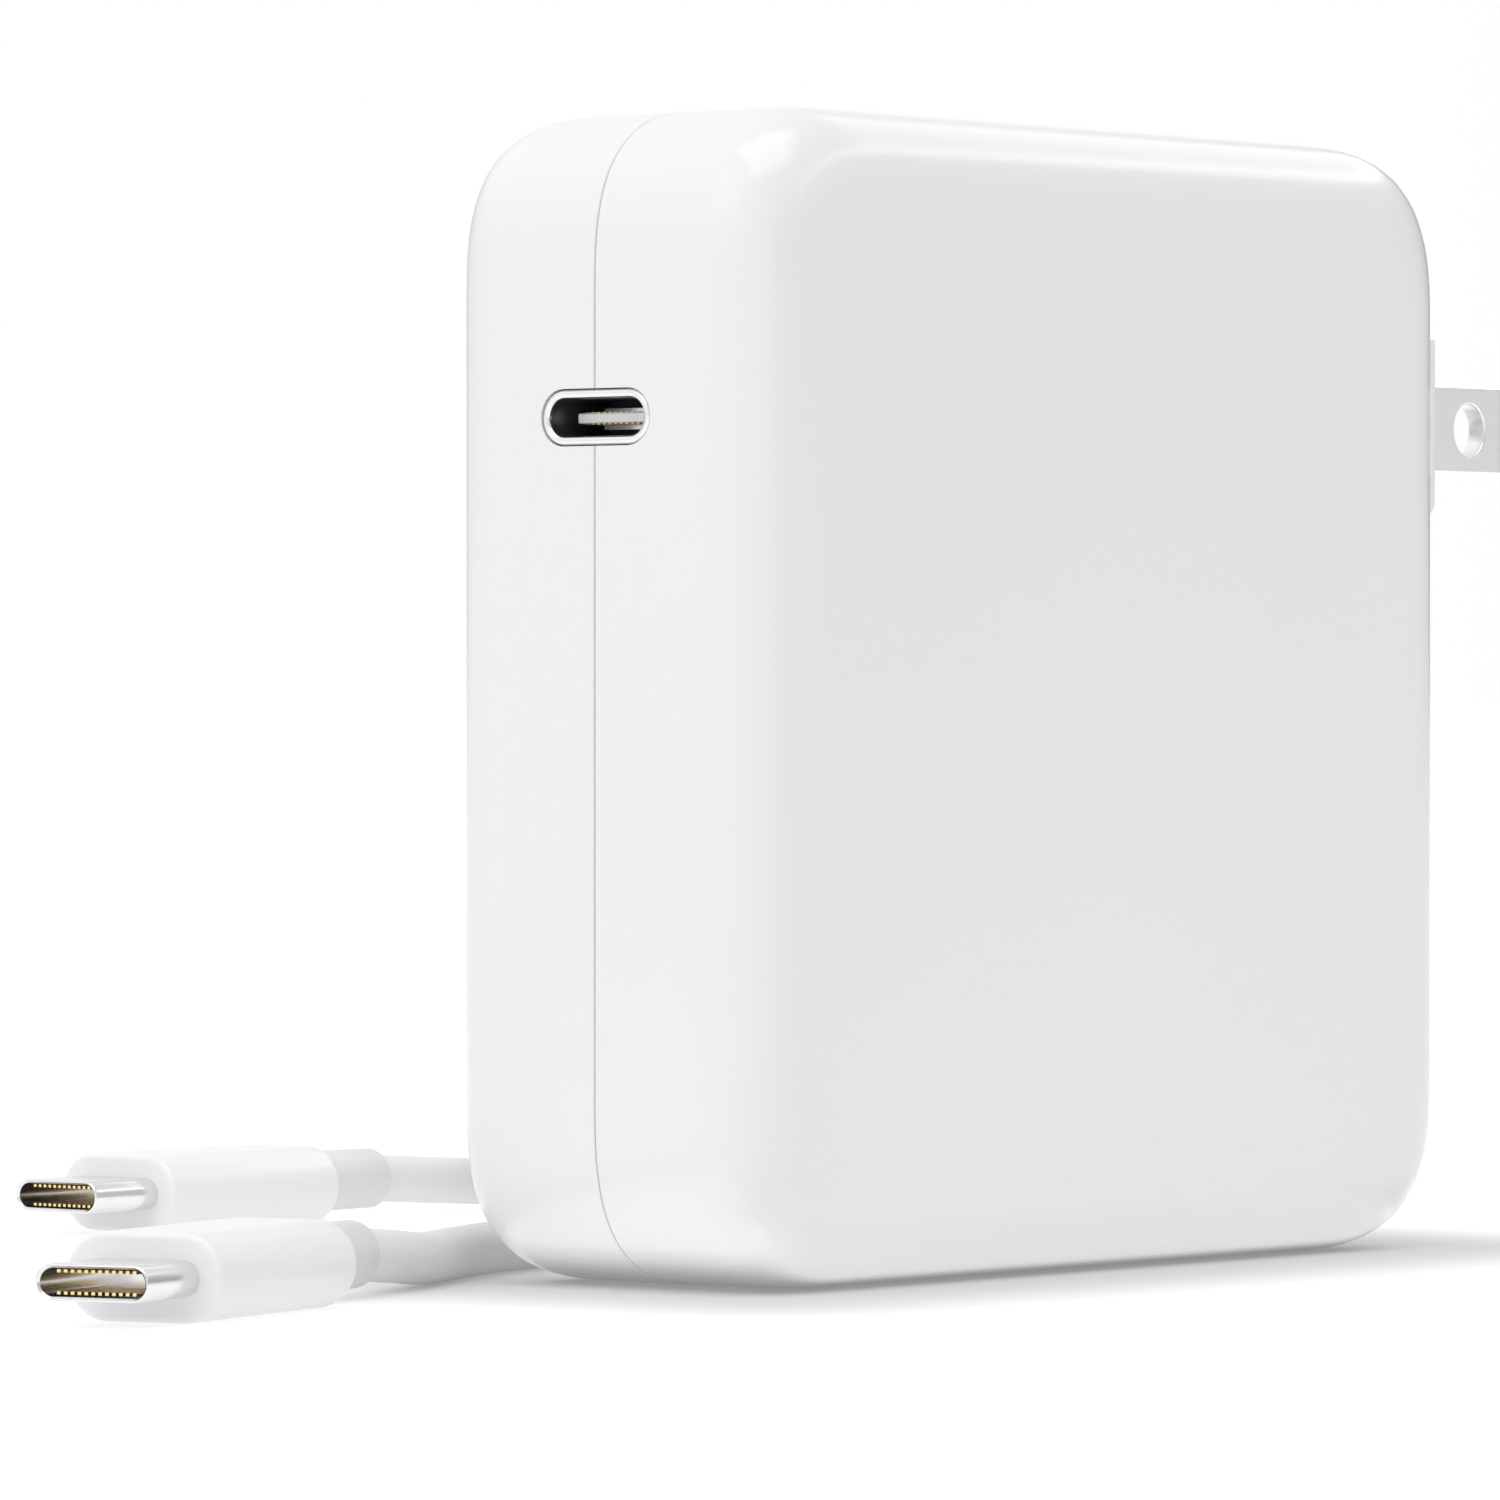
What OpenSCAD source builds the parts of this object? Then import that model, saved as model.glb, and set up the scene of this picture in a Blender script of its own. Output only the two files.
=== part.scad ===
// Compact USB-C laptop power adapter with a fold-away two-blade plug, and its loose USB-C cable.
// Units are millimetres. +Z is up, and the case stands on its lower narrow side on Z = 0.
// -X is the side with the USB-C socket, +X the side with the blades, and Y runs through the thickness.

/* [Case] */
// Length of each of the case's long sides
case_w = 80; // [78:0.5:84]
// Thickness of the case
case_t = 29; // [28.6:0.1:31]
// Reach of the rounding at the four corners of the large faces
corner_r = 13; // [12:0.5:14]
// Reach of the rounding between the large faces and the narrow sides
edge_r = 7.5; // [7:0.25:8]
// Squareness of both roundings, where 2 is a circle
squareness = 2.9; // [2:0.1:4]
// Wall thickness of the two covers
wall = 2.2; // [2:0.1:2.4]
// Place of the joint between the covers, measured from the middle plane
seam_y = 0.1; // [0:0.05:0.2]

/* [Socket] */
// Height of the USB-C socket's centre
socket_z = 58.9; // [57:0.1:60]
// Width of the socket's opening
socket_w = 8.34; // [8.3:0.01:8.4]
// Height of the socket's opening
socket_t = 2.56; // [2.5:0.01:2.6]
// Wall of the drawn steel socket shell
socket_wall = 0.3; // [0.25:0.05:0.35]
// Width of the bright rim round the socket's mouth
socket_rim = 0.66; // [0.5:0.01:0.7]

/* [Plug] */
// Height of the blades' centre line and of the pivot
plug_z = 59.9; // [59:0.1:60.5]
// Distance of the pivot from the case's middle
pivot_x = 34; // [33.8:0.1:34.2]
// Half of the distance between the two blades
blade_y = 6.35; // [6.3:0.01:6.4]
// Width of a blade
blade_w = 6.35; // [6.2:0.01:6.45]
// Thickness of a blade
blade_t = 1.5; // [1.4:0.01:1.6]
// Distance from the pivot to a blade's tip
blade_reach = 23.5; // [22:0.1:23.6]
// Distance from the pivot to the middle of a blade's hole
blade_hole_reach = 17.7; // [17:0.1:18]
// Radius of a blade's hole
blade_hole_r = 1.95; // [1.5:0.05:2]
// Half width of the pivoting carrier
carrier_half_w = 11.3; // [11:0.1:11.3]
// Half height of the pivoting carrier
carrier_half_h = 6.4; // [6.3:0.1:6.4]
// Distance from the pivot to the carrier's front face
carrier_front = 7.5; // [7.3:0.1:7.6]
// Radius of the pivot pin
pin_r = 1.25; // [1:0.05:1.4]

/* [Cable] */
// Diameter of the cable
cable_d = 3.6; // [3.4:0.1:3.6]
// Width of a plug's moulded grip
grip_w = 11.5; // [11:0.1:12]
// Thickness of a plug's moulded grip
grip_t = 5.8; // [5.6:0.1:6]
// Length of a plug's moulded grip
grip_l = 18.6; // [18:0.1:19]
// Length of a plug's strain relief
relief_l = 9.8; // [9:0.1:10]
// Width of a plug's steel shell
tip_w = 8.25; // [8.2:0.01:8.3]
// Height of a plug's steel shell
tip_t = 2.4; // [2.35:0.01:2.45]
// Length of a plug's steel shell
tip_l = 6.65; // [6.6:0.01:6.7]

/* [Hidden] */

$fn = 48;
// Vertices of each quarter of the case's outline, and steps of its edge rounding
corner_steps = 8;
edge_steps = 6;
half_w = case_w / 2;
half_t = case_t / 2;
cut = 1;

// Fit of the lip that locates one cover in the other
lip_inset = 1.15;
lip_gap = 0.1;
lip_h = 1.4;

// Well, slots and outline of the plug housing
housing_back_x = 23.4;
housing_half_y = 12.1;
housing_low_z = 34.6;
housing_high_z = 66.9;
window_gap = 0.05;
seat_r = 6.65;
sweep_r = 9.8;
sweep_inner_r = 9.5;
well_half_w = 11.45;
ear_r = 3.9;
ear_clear_r = 4.2;
ear_y = 10.3;
slot_t = 2.1;
slot_low_z = 35.7;
tip_bevel = 2.5;
tip_bevel_depth = 0.45;
pin_clearance = 0.05;
notch_r = 0.5;
wire_r = 0.9;

// Boards, their posts and the flat layers inside the case
board_y = 8.6;
board_t = 1.6;
small_board_t = 1;
small_board_top = socket_z - socket_t / 2 - socket_wall;
foot_y = 8.4;
post_r = 1;
post_places = [[-35, 16], [-35, 64], [35, 16], [35, 72]];
spreader_t = 0.5;
film_t = 0.3;

// Cable route, coil and plugs
cable_r = cable_d / 2;
plug_axis_z = grip_t / 2;
coil_x = 50;
coil_y = 49;
coil_base = 0.5;
coil_h = 14.9;
coil_outer_r = 28.8;
coil_inner_r = 13.2;
tie_t = 0.5;
tie_w = 10;
plug_a_pos = [22, 75.8];
plug_a_turn = 180;
plug_b_pos = [-54, 9.4];
plug_b_turn = 194;
run_a_route = [[22, 75.8, 2.9], [30, 75.8, 2.4], [37, 75.8, 2.1], [44, 75.8, 2.3]];
run_b_route = [
    [44, 22.2, 13.4], [36, 22.2, 13], [28, 22.2, 11.6], [20, 22.2, 9.4], [12, 22.2, 6.8],
    [4, 22.2, 4.4], [-4, 22.2, 2.8], [-12, 22, 2], [-20, 21.4, 1.8], [-28, 19.8, 1.8],
    [-35, 17.2, 1.8], [-42, 13.8, 1.9], [-48, 11.2, 2.4], [-54, 9.4, 2.9]
];

// ---- Case outline ----

// One point of a superelliptic quarter turn of reach r
function turn_point(a, r) = [r * pow(cos(a), 2 / squareness), r * pow(sin(a), 2 / squareness)];

// The case's outline in X and Z, drawn in by d, counter-clockwise seen from the front
function outline(d) = [
    for (q = [0:3], i = [0:corner_steps])
        let (
            c = turn_point(90 * i / corner_steps, corner_r - d),
            p = [half_w - corner_r + c[0], half_w - corner_r + c[1]]
        )
        [p[0] * cos(90 * q) - p[1] * sin(90 * q), p[0] * sin(90 * q) + p[1] * cos(90 * q)]
];

// Place and inset of the outline at one angle of the edge rounding
function edge_ring(a, side, inset) =
    let (c = turn_point(a, edge_r - inset))
    [side * (half_t - edge_r + c[1]), edge_r - c[0]];

function front_rings(inset) = [for (i = [edge_steps:-1:0]) edge_ring(90 * i / edge_steps, -1, inset)];
function back_rings(inset) = [for (i = [0:edge_steps]) edge_ring(90 * i / edge_steps, 1, inset)];

// Closed solid through outlines that are stacked along Y
module lofted(rings) {
    n = 4 * (corner_steps + 1);
    last = len(rings) - 1;
    points = [for (r = rings, p = outline(r[1])) [p[0], r[0], p[1] + half_w]];
    sides = [
        for (k = [0:last - 1], i = [0:n - 1])
            let (a = k * n + i, b = k * n + (i + 1) % n)
            each [[a, b, b + n], [a, b + n, a + n]]
    ];
    front_cap = [for (i = [n - 1:-1:0]) i];
    back_cap = [for (i = [0:n - 1]) last * n + i];
    polyhedron(points = points, faces = concat([front_cap], sides, [back_cap]));
}

module front_block(inset, end_y) lofted(concat(front_rings(inset), [[end_y, inset]]));
module back_block(inset, start_y) lofted(concat([[start_y, inset]], back_rings(inset)));
module full_block(inset) lofted(concat(front_rings(inset), back_rings(inset)));

// Outline of the case drawn in by d, extruded from y0 to y1
module outline_band(d, y0, y1)
    translate([0, y1, half_w]) rotate([90, 0, 0]) linear_extrude(height = y1 - y0) polygon(outline(d));

// Box given by its lowest and highest corners
module block(low, high) translate(low) cube(high - low);

// Rectangle with full round ends, long along the second axis
module stadium(w, t) {
    square([t, w - t], center = true);
    translate([0, (w - t) / 2]) circle(d = t);
    translate([0, (t - w) / 2]) circle(d = t);
}

// Bar along X with a stadium section whose width lies along Y
module flat_bar(x0, x1, w, t)
    translate([x0, 0, 0]) rotate([0, 90, 0]) linear_extrude(height = x1 - x0) stadium(w, t);

// The same bar at the height of the socket
module socket_bar(x0, x1, w, t) translate([0, 0, socket_z]) flat_bar(x0, x1, w, t);

// Cylinder along Y
module rod_y(x, z, r, y0, y1) translate([x, y1, z]) rotate([90, 0, 0]) cylinder(r = r, h = y1 - y0);

module case_openings() {
    socket_bar(-half_w - cut, -half_w + wall + cut, socket_w + 2 * socket_rim, socket_t + 2 * socket_rim);
    block(
        [housing_back_x, -housing_half_y - window_gap, housing_low_z - window_gap],
        [half_w + cut, housing_half_y + window_gap, housing_high_z + window_gap]
    );
}

module front_cover() {
    color("white") difference() {
        front_block(0, seam_y);
        front_block(wall, seam_y + cut);
        outline_band(lip_inset, seam_y - lip_h - lip_gap, seam_y + cut);
        case_openings();
    }
}

module back_cover() {
    color("white") difference() {
        union() {
            difference() {
                back_block(0, seam_y);
                back_block(wall, seam_y - cut);
            }
            difference() {
                outline_band(lip_inset + lip_gap, seam_y - lip_h, seam_y + cut);
                outline_band(wall, seam_y - lip_h - cut, seam_y + 2 * cut);
            }
            // Posts that the main board rests on
            for (p = post_places)
                rod_y(p[0], p[1], post_r, board_y + board_t + 0.05, half_t - wall + 0.2);
        }
        case_openings();
    }
}

// ---- Fold-away plug ----

// Section of the carrier about the pivot, in X and Z
module carrier_section() {
    circle(r = carrier_half_h);
    intersection() {
        translate([0, -carrier_half_h]) square([carrier_front, 2 * carrier_half_h]);
        union() {
            circle(r = sweep_inner_r);
            square([carrier_front, carrier_half_h]);
        }
    }
}

// Section of the well that the carrier turns in
module well_section() {
    circle(r = seat_r);
    intersection() {
        circle(r = sweep_r);
        translate([-seat_r, -sweep_r]) square([seat_r + sweep_r, sweep_r]);
    }
    translate([0, -sweep_r]) square([half_w, sweep_r + seat_r]);
}

// Extrudes a section about the pivot to both sides of the middle plane
module about_pivot(half)
    translate([pivot_x, half, plug_z]) rotate([90, 0, 0]) linear_extrude(height = 2 * half) children();

module ear_pair(r, inner, outer)
    for (side = [-1, 1])
        translate([pivot_x, side * (inner + outer) / 2, plug_z]) rotate([90, 0, 0])
            cylinder(r = r, h = outer - inner, center = true);

module plug_housing() {
    pocket_half = 2.3;
    color("whitesmoke") difference() {
        intersection() {
            full_block(0);
            block(
                [housing_back_x, -housing_half_y, housing_low_z],
                [half_w + cut, housing_half_y, housing_high_z]
            );
        }
        difference() {
            about_pivot(well_half_w) well_section();
            ear_pair(ear_r, ear_y, well_half_w + cut);
        }
        // Slots that the folded blades lie in
        for (side = [-1, 1])
            block(
                [pivot_x - 3.6, side * blade_y - slot_t / 2, slot_low_z],
                [half_w + cut, side * blade_y + slot_t / 2, plug_z]
            );
        // Finger scoop between the blades' tips
        translate([half_w + 3, 0, 40.5]) rotate([90, 0, 0]) cylinder(r = 6.5, h = 8.6, center = true);
        // Pockets for the two contact springs and the detent spring
        for (y = [-blade_y, 0, blade_y])
            block(
                [housing_back_x - cut, y - pocket_half, plug_z - 3],
                [pivot_x - 6, y + pocket_half, plug_z + 3]
            );
        ear_pair(pin_r, ear_y - cut, housing_half_y + cut);
    }
}

module prong_carrier() {
    color("white") difference() {
        about_pivot(carrier_half_w) carrier_section();
        ear_pair(ear_clear_r, ear_y - lip_gap, carrier_half_w + cut);
        about_pivot(carrier_half_w + cut) circle(r = pin_r + pin_clearance);
        for (side = [-1, 1])
            block(
                [pivot_x + 1.8, side * blade_y - blade_t / 2, plug_z - blade_w / 2],
                [pivot_x + carrier_front + cut, side * blade_y + blade_t / 2, plug_z + blade_w / 2]
            );
        // Passages for the blades' tails, behind the pivot pin
        for (side = [-1, 1])
            block(
                [pivot_x - carrier_half_h - cut, side * blade_y - blade_t / 2, plug_z - 2],
                [pivot_x - 1.8, side * blade_y + blade_t / 2, plug_z + 2]
            );
        // Passages over and under the pin that join the blade to its tail
        for (side = [-1, 1], up = [-1, 1])
            block(
                [pivot_x - 1.9, side * blade_y - blade_t / 2, plug_z + up * 2.1 - 0.5],
                [pivot_x + 1.9, side * blade_y + blade_t / 2, plug_z + up * 2.1 + 0.5]
            );
        // Detent grooves for the open and folded positions
        rod_y(pivot_x - carrier_half_h, plug_z, notch_r, -1.8, 1.8);
        rod_y(pivot_x, plug_z - carrier_half_h, notch_r, -1.8, 1.8);
    }
}

// One blade: a bevelled strip with a round hole, whose tail passes the pin above and below
module blade(y) {
    color("silver") translate([pivot_x, y + blade_t / 2, plug_z]) rotate([90, 0, 0]) difference() {
        linear_extrude(height = blade_t) {
            difference() {
                translate([1.9, -blade_w / 2]) square([blade_reach - 1.9, blade_w]);
                translate([blade_hole_reach, 0]) circle(r = blade_hole_r);
            }
            for (up = [-1, 1])
                translate([-1.9, up * 2.1 - 0.5]) square([3.8, 1]);
            translate([-6, -2]) square([4.2, 4]);
        }
        // Bevels on both flats of the tip
        for (side = [0, 1])
            translate([blade_reach, 0, side * blade_t])
                rotate([0, (side == 0 ? 1 : -1) * atan2(tip_bevel_depth, tip_bevel), 0])
                    translate([-tip_bevel, -blade_w, side == 0 ? -2 : 0])
                        cube([2 * tip_bevel, 2 * blade_w, 2]);
    }
}

module prong_front() blade(-blade_y);
module prong_back() blade(blade_y);

module pivot_pin() {
    color("silver") rod_y(pivot_x, plug_z, pin_r, -housing_half_y + 0.1, housing_half_y - 0.1);
}

module detent_spring() {
    color("lightsteelblue") {
        block([24.6, -2, plug_z - 3], [25, 2, plug_z + 3]);
        rod_y(25.9, plug_z, 1, -1.5, 1.5);
    }
}

// Bronze contact: a base held in the housing, an arm and an upright contact pad
module contact_spring(y) {
    color("goldenrod") {
        block([housing_back_x, y - 2.3, plug_z - 3], [housing_back_x + 0.8, y + 2.3, plug_z + 3]);
        block([housing_back_x - 1.8, y - 1.2, plug_z - 0.25], [26.9, y + 1.2, plug_z + 0.25]);
        block([26.7, y - 1.8, plug_z - 2.2], [27.1, y + 1.8, plug_z + 2.2]);
    }
}

module contact_spring_line() contact_spring(-blade_y);
module contact_spring_neutral() contact_spring(blade_y);

// ---- Swept tubes ----

function unit(v) = v / norm(v);

// Direction of travel at point i of a route
function heading(route, i) = unit(route[min(i + 1, len(route) - 1)] - route[max(i - 1, 0)]);

// Closed tube of radius r with a ring of flats at each point of a route; keep is any direction
// that the route never follows
module swept_tube(route, r, flats, keep) {
    last = len(route) - 1;
    points = [
        for (i = [0:last])
            let (
                t = heading(route, i),
                u = unit(cross(t, keep)),
                v = cross(t, u)
            )
            for (k = [0:flats - 1])
                route[i] + r * (cos(360 * k / flats) * u + sin(360 * k / flats) * v)
    ];
    sides = [
        for (i = [0:last - 1], k = [0:flats - 1])
            let (a = i * flats + k, b = i * flats + (k + 1) % flats)
            each [[a, b + flats, b], [a, a + flats, b + flats]]
    ];
    start_cap = [for (k = [0:flats - 1]) k];
    end_cap = [for (k = [flats - 1:-1:0]) last * flats + k];
    polyhedron(points = points, faces = concat([start_cap], sides, [end_cap]));
}

module line_wire() {
    route = [
        [21.5, -6.35, 61.2], [19.6, -6.2, 61.4], [17.8, -4.6, 62],
        [17, -1, 62.6], [16.8, 3, 63], [16.8, 8.4, 63.2]
    ];
    color("saddlebrown") swept_tube(route, wire_r, 8, [0, 0, 1]);
}

module neutral_wire() {
    route = [
        [21.5, 4.6, 58.6], [19.8, 4.7, 58.2], [18.2, 5.2, 57.4], [17.2, 6.4, 56.6], [17, 8.2, 56.3]
    ];
    color("royalblue") swept_tube(route, wire_r, 8, [0, 0, 1]);
}

// ---- USB-C socket ----

module usb_c_shell() {
    color("gainsboro") difference() {
        union() {
            socket_bar(-half_w, -31, socket_w + 2 * socket_wall, socket_t + 2 * socket_wall);
            socket_bar(-half_w, -38.8, socket_w + 2 * socket_rim - 0.1, socket_t + 2 * socket_rim - 0.1);
        }
        socket_bar(-half_w - cut, -31 + cut, socket_w, socket_t);
    }
}

module usb_c_tongue() {
    color("whitesmoke") block([-37.9, -3.35, socket_z - 0.35], [-34, 3.35, socket_z + 0.35]);
}

module usb_c_contacts() {
    pitch = 0.5;
    color("gold") for (side = [-1, 1], i = [0:11])
        translate([-36.6, (i - 5.5) * pitch, socket_z + side * 0.38])
            cube([2, 0.26, 0.06], center = true);
}

// Steel plates that lie on the root of the tongue, above and below
module usb_c_shield() {
    color("silver") for (low = [-0.72, 0.37])
        block([-35.4, -3.1, socket_z + low], [-34, 3.1, socket_z + low + 0.35]);
}

module usb_c_rear_block() {
    color("dimgray") {
        socket_bar(-34, -31, socket_w, socket_t);
        block([-31, -4, socket_z - socket_t / 2], [-29.6, 4, socket_z + socket_t / 2]);
    }
}

// ---- Boards and electronics ----

module main_board() {
    color("darkgreen") difference() {
        outline_band(wall + 1.2, board_y, board_y + board_t);
        block([housing_back_x - 0.8, 0, housing_low_z - cut], [half_w, half_t, housing_high_z + cut]);
    }
}

// The small board stands square to the main board, under the socket
module output_board() {
    color("darkgreen") block([-37, -9, small_board_top - small_board_t], [-19, foot_y, small_board_top]);
}

// Header that joins the two boards in their corner
module board_header() {
    under = small_board_top - small_board_t;
    color("black") block([-34, 5.4, under - 2.5], [-23, board_y, under]);
}

module fuse() {
    color("lightgray") translate([23.6, 6.1, 71.6]) rotate([0, 90, 0]) {
        cylinder(r = 2.2, h = 2);
        translate([0, 0, 2]) cylinder(r = 1.9, h = 6);
        translate([0, 0, 8]) cylinder(r = 2.2, h = 2);
    }
}

module bridge_rectifier() {
    color("dimgray") {
        block([9, 4.8, 69], [20, 7.9, 75]);
        for (i = [0:3])
            block([10 + 2.7 * i, 7.9, 69.6], [10.9 + 2.7 * i, board_y, 70.6]);
    }
}

// Ring about Y, swept through part of a turn
module ring_y(x, y, z, r0, r1, h, start, sweep)
    translate([x, y, z]) rotate([90, 0, 0]) rotate([0, 0, start]) rotate_extrude(angle = sweep)
        translate([r0, -h / 2]) square([r1 - r0, h]);

module choke_core() {
    color("dimgray") ring_y(28.8, 4.4, 22.6, 3.6, 5.8, 6, 0, 360);
}

module choke_winding() {
    color("peru") for (start = [20, 200])
        difference() {
            ring_y(28.8, 4.4, 22.6, 2.6, 6.8, 8, start, 140);
            ring_y(28.8, 4.4, 22.6, 3.6, 5.8, 6, 0, 360);
        }
}

module x_capacitor() {
    color("gold") block([21, -6, 5.6], [33, foot_y, 13.6]);
}

// Two identical can capacitors lying side by side, each with its crimped neck
module bulk_capacitors() {
    can_r = 6.2;
    can_l = 26;
    profile = [
        [0, 0], [can_r, 0], [can_r, 2.4], [can_r - 0.5, 3], [can_r, 3.6], [can_r, can_l], [0, can_l]
    ];
    color("black") for (z = [11.6, 25])
        translate([-7.5, 2, z]) rotate([0, 90, 0]) rotate_extrude() polygon(profile);
}

// Ferrite core with a round centre leg between two plates and two side legs
module pot_core(x, z, w, d, leg_r, y0, y1, plate) {
    block([x - w / 2, y0, z - d / 2], [x + w / 2, y0 + plate, z + d / 2]);
    block([x - w / 2, y1 - plate, z - d / 2], [x + w / 2, y1, z + d / 2]);
    for (side = [-1, 1])
        translate([x + side * (w / 2 - 1.2) - 1.2, y0 + plate / 2, z - d / 2])
            cube([2.4, y1 - y0 - plate, d]);
    rod_y(x, z, leg_r, y0 + plate / 2, y1 - plate / 2);
}

// Round winding that leaves room for the centre leg
module round_winding(x, z, r0, r1, y0, y1) ring_y(x, (y0 + y1) / 2, z, r0, r1, y1 - y0, 0, 360);

module transformer_core() {
    color("dimgray") pot_core(-2, 49, 24, 22, 4.6, -10.4, 8.2, 4);
}

module transformer_winding() {
    color("khaki") round_winding(-2, 49, 4.8, 9, -6.2, 4);
}

module inductor_core() {
    color("dimgray") pot_core(-4, 69, 17, 12, 3, -8, 8.2, 3);
}

module inductor_winding() {
    color("peru") round_winding(-4, 69, 3.2, 5.8, -4.8, 5);
}

module thermal_pad() {
    color("lightblue") block([-12, -11.1, 40], [8, -10.4, 58]);
}

module heatsink() {
    color("silver") {
        block([-17.4, -9, 37], [-15.9, foot_y, 62]);
        block([-17.4, -10.4, 37], [-15, -9, 62]);
    }
}

module switch_transistors() {
    color("black") for (z = [38, 55])
        block([-15.9, 0, z], [-14.4, 7, z + 6]);
}

module output_capacitors() {
    color("steelblue") for (p = [[-31, 41], [-22.6, 41], [-31, 32.4]])
        rod_y(p[0], p[1], 3.9, -7.6, foot_y);
}

module y_capacitor() {
    color("cornflowerblue") translate([-13, 5, 28]) rotate([0, 90, 0]) cylinder(r = 3.5, h = 3);
}

module optocoupler() {
    color("ivory") block([-18, 5, 14], [-13.4, 8.2, 20.4]);
}

module control_chips() {
    color("black") for (p = [[-30, 10], [-30, 20]])
        block([p[0], 7.2, p[1]], [p[0] + 6, board_y, p[1] + 6]);
}

module usb_control_chip() {
    under = small_board_top - small_board_t;
    color("black") block([-30, -6, under - 0.9], [-25, -1, under]);
}

// Flat sheet behind a large face, notched round the plug housing
module flat_sheet(d, y0, y1) {
    difference() {
        outline_band(d, y0, y1);
        block([housing_back_x - 0.7, y0 - cut, housing_low_z - cut], [half_w, y1 + cut, housing_high_z + cut]);
    }
}

module heat_spreader_front() {
    color("silver") flat_sheet(edge_r - 0.5, -11.1 - spreader_t, -11.1);
}

module heat_spreader_back() {
    color("silver") flat_sheet(edge_r - 0.5, 10.9, 10.9 + spreader_t);
}

module insulation_front() {
    color("khaki") flat_sheet(edge_r - 1, -11.8 - film_t, -11.8);
}

module insulation_back() {
    color("khaki") flat_sheet(edge_r - 1, 11.6, 11.6 + film_t);
}

// ---- Loose cable ----

// Places a plug that is drawn with its tail at the origin and its tip along +X
module plug_place(pos, turn) translate([pos[0], pos[1], plug_axis_z]) rotate([0, 0, turn]) children();

module plug_shell() {
    sheet = 0.28;
    color("silver") difference() {
        flat_bar(relief_l + grip_l, relief_l + grip_l + tip_l, tip_w, tip_t);
        flat_bar(
            relief_l + grip_l + 0.4, relief_l + grip_l + tip_l + cut,
            tip_w - 2 * sheet, tip_t - 2 * sheet
        );
    }
}

module plug_contacts() {
    color("gold") for (side = [-1, 1], i = [0:11])
        translate([relief_l + grip_l + 3.2, (i - 5.5) * 0.5, side * 0.7])
            cube([5.6, 0.26, 0.2], center = true);
}

module plug_grip() {
    color("white") flat_bar(relief_l, relief_l + grip_l, grip_w, grip_t);
}

module plug_relief() {
    color("white") rotate([0, 90, 0]) cylinder(r1 = cable_r + 0.4, r2 = cable_r + 0.5, h = relief_l);
}

module plug_a_shell() plug_place(plug_a_pos, plug_a_turn) plug_shell();
module plug_a_contacts() plug_place(plug_a_pos, plug_a_turn) plug_contacts();
module plug_a_grip() plug_place(plug_a_pos, plug_a_turn) plug_grip();
module plug_a_relief() plug_place(plug_a_pos, plug_a_turn) plug_relief();
module plug_b_shell() plug_place(plug_b_pos, plug_b_turn) plug_shell();
module plug_b_contacts() plug_place(plug_b_pos, plug_b_turn) plug_contacts();
module plug_b_grip() plug_place(plug_b_pos, plug_b_turn) plug_grip();
module plug_b_relief() plug_place(plug_b_pos, plug_b_turn) plug_relief();

module cable_run_a() {
    color("white") swept_tube(run_a_route, cable_r, 8, [0, 0, 1]);
}

module cable_run_b() {
    color("white") swept_tube(run_b_route, cable_r, 8, [0, 0, 1]);
}

module cable_coil() {
    color("white") translate([coil_x, coil_y, coil_base]) rotate_extrude()
        translate([coil_inner_r, 0]) square([coil_outer_r - coil_inner_r, coil_h]);
}

// Strap that goes once round the coil's section
module coil_tie() {
    near = coil_inner_r - 1.3;
    far = coil_outer_r + 0.1;
    color("lightgray") translate([coil_x, coil_y, 0]) difference() {
        block(
            [near - tie_t, -tie_w / 2, 0],
            [far + tie_t, tie_w / 2, coil_base + coil_h + tie_t]
        );
        block([near, -tie_w, coil_base], [far, tie_w, coil_base + coil_h]);
    }
}

front_cover();
back_cover();
plug_housing();
prong_carrier();
prong_front();
prong_back();
pivot_pin();
detent_spring();
contact_spring_line();
contact_spring_neutral();
line_wire();
neutral_wire();
usb_c_shell();
usb_c_tongue();
usb_c_contacts();
usb_c_shield();
usb_c_rear_block();
main_board();
output_board();
board_header();
fuse();
bridge_rectifier();
choke_core();
choke_winding();
x_capacitor();
bulk_capacitors();
inductor_core();
inductor_winding();
transformer_core();
transformer_winding();
thermal_pad();
heatsink();
switch_transistors();
output_capacitors();
y_capacitor();
optocoupler();
control_chips();
usb_control_chip();
heat_spreader_front();
heat_spreader_back();
insulation_front();
insulation_back();
plug_a_shell();
plug_a_contacts();
plug_a_grip();
plug_a_relief();
plug_b_shell();
plug_b_contacts();
plug_b_grip();
plug_b_relief();
cable_run_a();
cable_coil();
cable_run_b();
coil_tie();
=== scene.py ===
"""Looks of a white USB-C laptop power adapter with its loose cable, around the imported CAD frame."""

import math

import bmesh
import bpy
from mathutils import Matrix, Vector


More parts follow.
